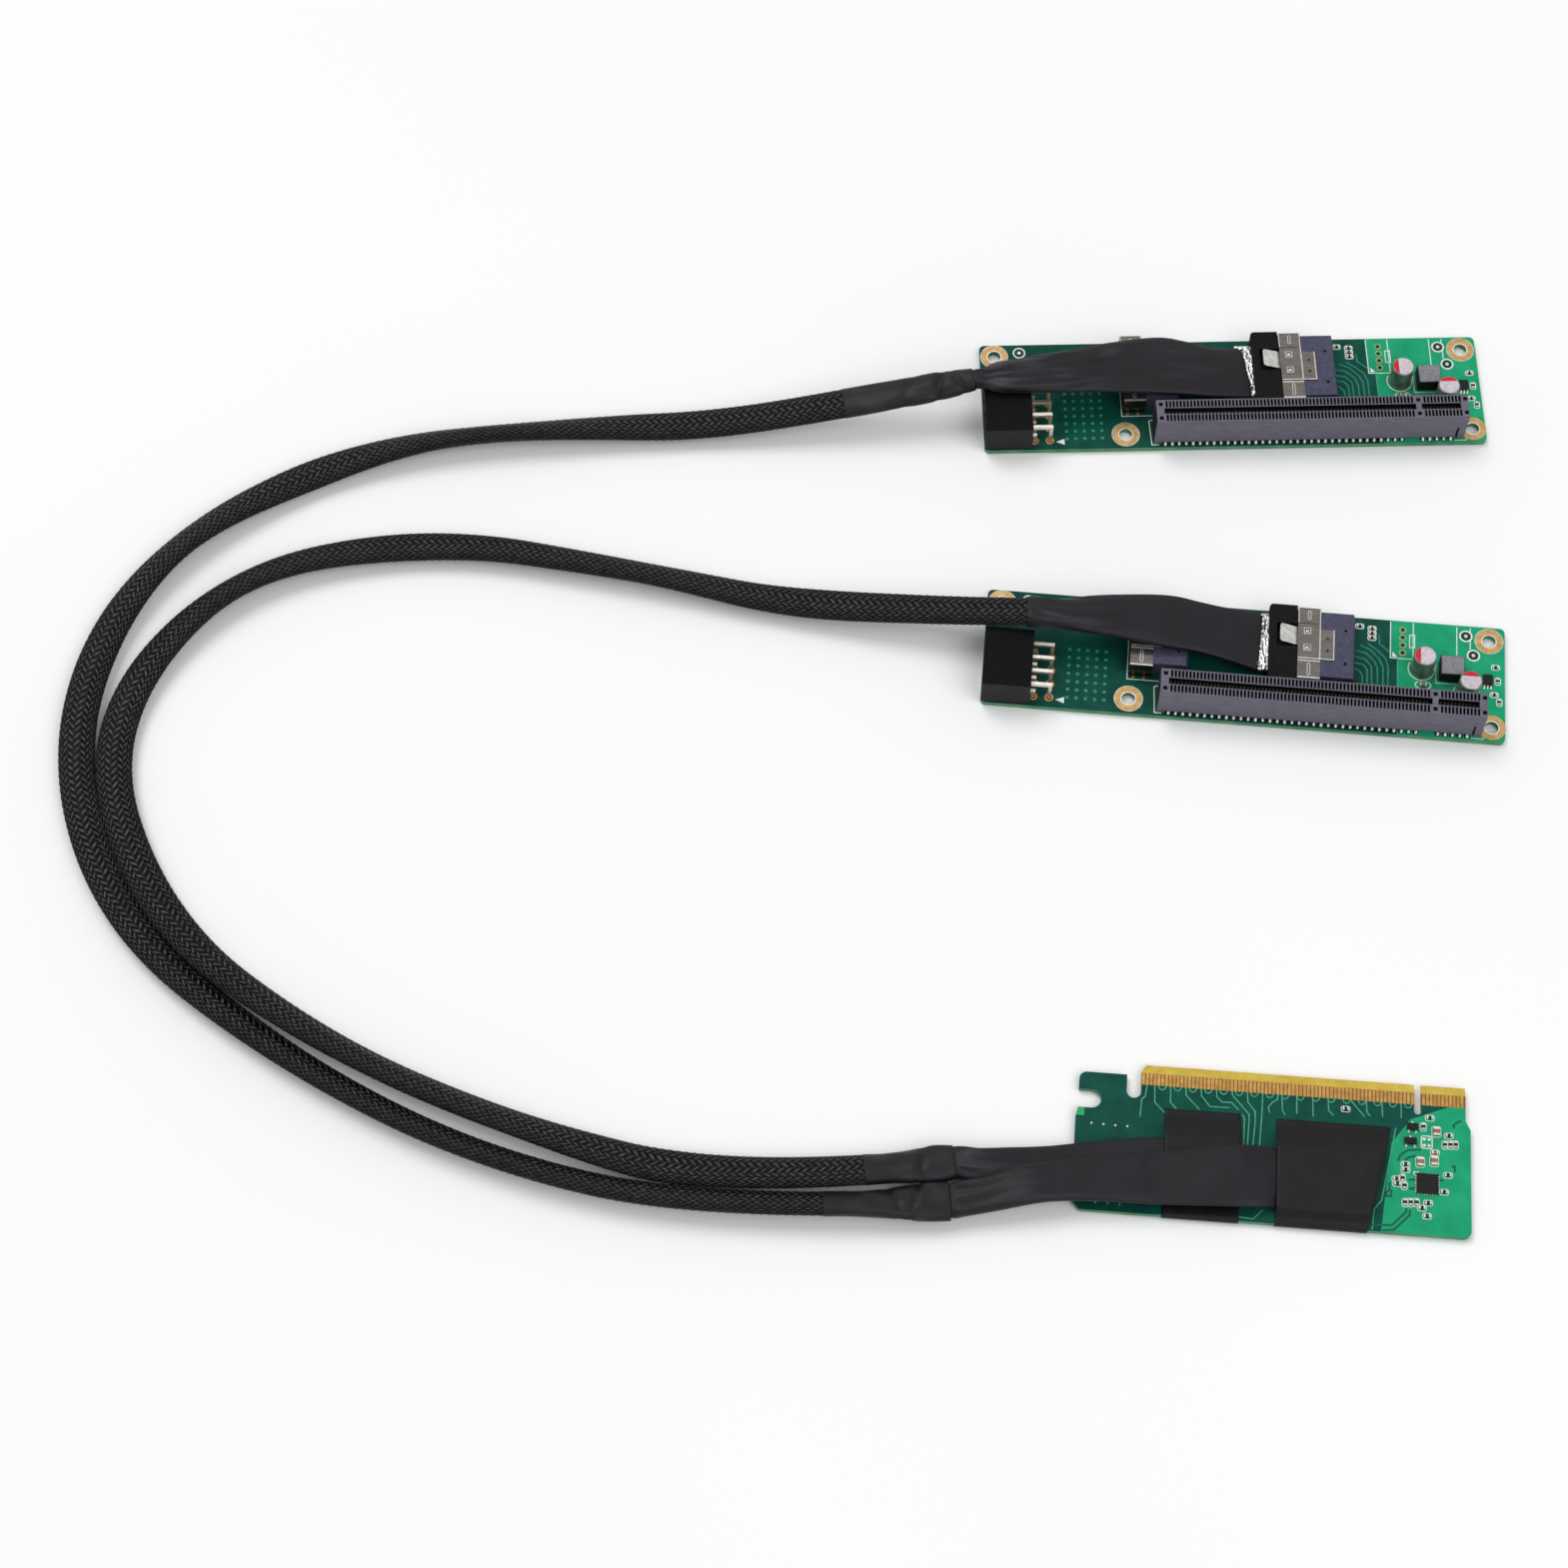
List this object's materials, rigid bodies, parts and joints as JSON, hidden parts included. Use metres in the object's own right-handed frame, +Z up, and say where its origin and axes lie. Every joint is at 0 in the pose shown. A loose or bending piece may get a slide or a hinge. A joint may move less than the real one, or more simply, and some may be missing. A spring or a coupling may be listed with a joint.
{
  "type": "slot adapter cable set",
  "caption": "Edge-connector card joined by flat braided cables to slot boards with card slots, power headers and latched cable plugs.",
  "frame": {"origin": "bottom centre of the box around the three circuit boards, on the surface they lie on", "axes": "+Z up, +X to the right along the card slots, +Y from the host card towards the slot boards"},
  "size_m": [0.3999, 0.2767, 0.0189],
  "materials": {
    "board_green": "solder mask over glass-fibre board",
    "card_green": "solder mask",
    "gold": "gold plating",
    "slot_plastic": "moulded",
    "tinned_metal": "tin plating",
    "header_plastic": "moulded",
    "receptacle_plastic": "moulded",
    "shell_steel": "stamped sheet",
    "can_aluminium": "drawn can",
    "seal_rubber": "moulded",
    "inductor_grey": "pressed powder",
    "chip_black": "moulded",
    "chip_ceramic": "fired ceramic",
    "plug_plastic": "moulded",
    "latch_steel": "spring steel",
    "foil": "crumpled foil",
    "jacket_black": "woven tape jacket",
    "shrink_black": "heat-shrink tube",
    "braid_black": "woven monofilament",
    "wire_insulation": "extruded",
    "tape_black": "cloth tape"
  },
  "bodies": {
    "boards_and_cables": {"braid_sleeve_1": "braid_black", "braid_sleeve_2": "braid_black", "capacitor_cans_1": "can_aluminium", "capacitor_cans_2": "can_aluminium", "capacitor_seals_1": "seal_rubber", "capacitor_seals_2": "seal_rubber", "chip_components_1": "chip_ceramic", "chip_components_2": "chip_ceramic", "conductor_bundle_1": "wire_insulation", "conductor_bundle_2": "wire_insulation", "foil_band_1": "foil", "foil_band_2": "foil", "hole_rings_1": "gold", "hole_rings_2": "gold", "host_board": "board_green", "host_controller_chip": "chip_black", "host_edge_contacts": "gold", "host_jacket_1": "jacket_black", "host_jacket_2": "jacket_black", "host_passives": "chip_ceramic", "host_shrink_1": "shrink_black", "host_shrink_2": "shrink_black", "host_tape_1": "tape_black", "host_tape_2": "tape_black", "host_transistors": "chip_black", "host_wire_ends_1": "wire_insulation", "host_wire_ends_2": "wire_insulation", "inductor_1": "inductor_grey", "inductor_2": "inductor_grey", "pcie_slot_housing_1": "slot_plastic", "pcie_slot_housing_2": "slot_plastic", "plug_body_1": "plug_plastic", "plug_body_2": "plug_plastic", "plug_paddle_card_1": "card_green", "plug_paddle_card_2": "card_green", "power_header_housing_1": "header_plastic", "power_header_housing_2": "header_plastic", "power_header_pins_1": "tinned_metal", "power_header_pins_2": "tinned_metal", "receptacle_contacts_1": "gold", "receptacle_contacts_2": "gold", "receptacle_housing_1": "receptacle_plastic", "receptacle_housing_2": "receptacle_plastic", "receptacle_shell_1": "shell_steel", "receptacle_shell_2": "shell_steel", "regulator_chip_1": "chip_black", "regulator_chip_2": "chip_black", "slot_board_1": "board_green", "slot_board_2": "board_green", "slot_contacts_1": "tinned_metal", "slot_contacts_2": "tinned_metal", "slot_jacket_1": "jacket_black", "slot_jacket_2": "jacket_black", "slot_shrink_1": "shrink_black", "spare_receptacle_housing_1": "receptacle_plastic", "spare_receptacle_housing_2": "receptacle_plastic", "spare_receptacle_shell_1": "shell_steel", "spare_receptacle_shell_2": "shell_steel"},
    "latch_1": {"plug_latch_1": "latch_steel"},
    "latch_2": {"plug_latch_2": "latch_steel"}
  },
  "joints": [
    {"name": "press_latch_1", "type": "hinge", "parent": "boards_and_cables", "child": "latch_1", "pos_m": [0.02108, 0.12624, 0.0068], "axis": [0.0218, -0.9998, 0], "range_deg": [0, 6], "stiffness_Nm_per_rad": 0.02},
    {"name": "press_latch_2", "type": "hinge", "parent": "boards_and_cables", "child": "latch_2", "pos_m": [0.02003, 0.03422, 0.0068], "axis": [-0.0892, -0.996, 0], "range_deg": [0, 6], "stiffness_Nm_per_rad": 0.02}
  ]
}
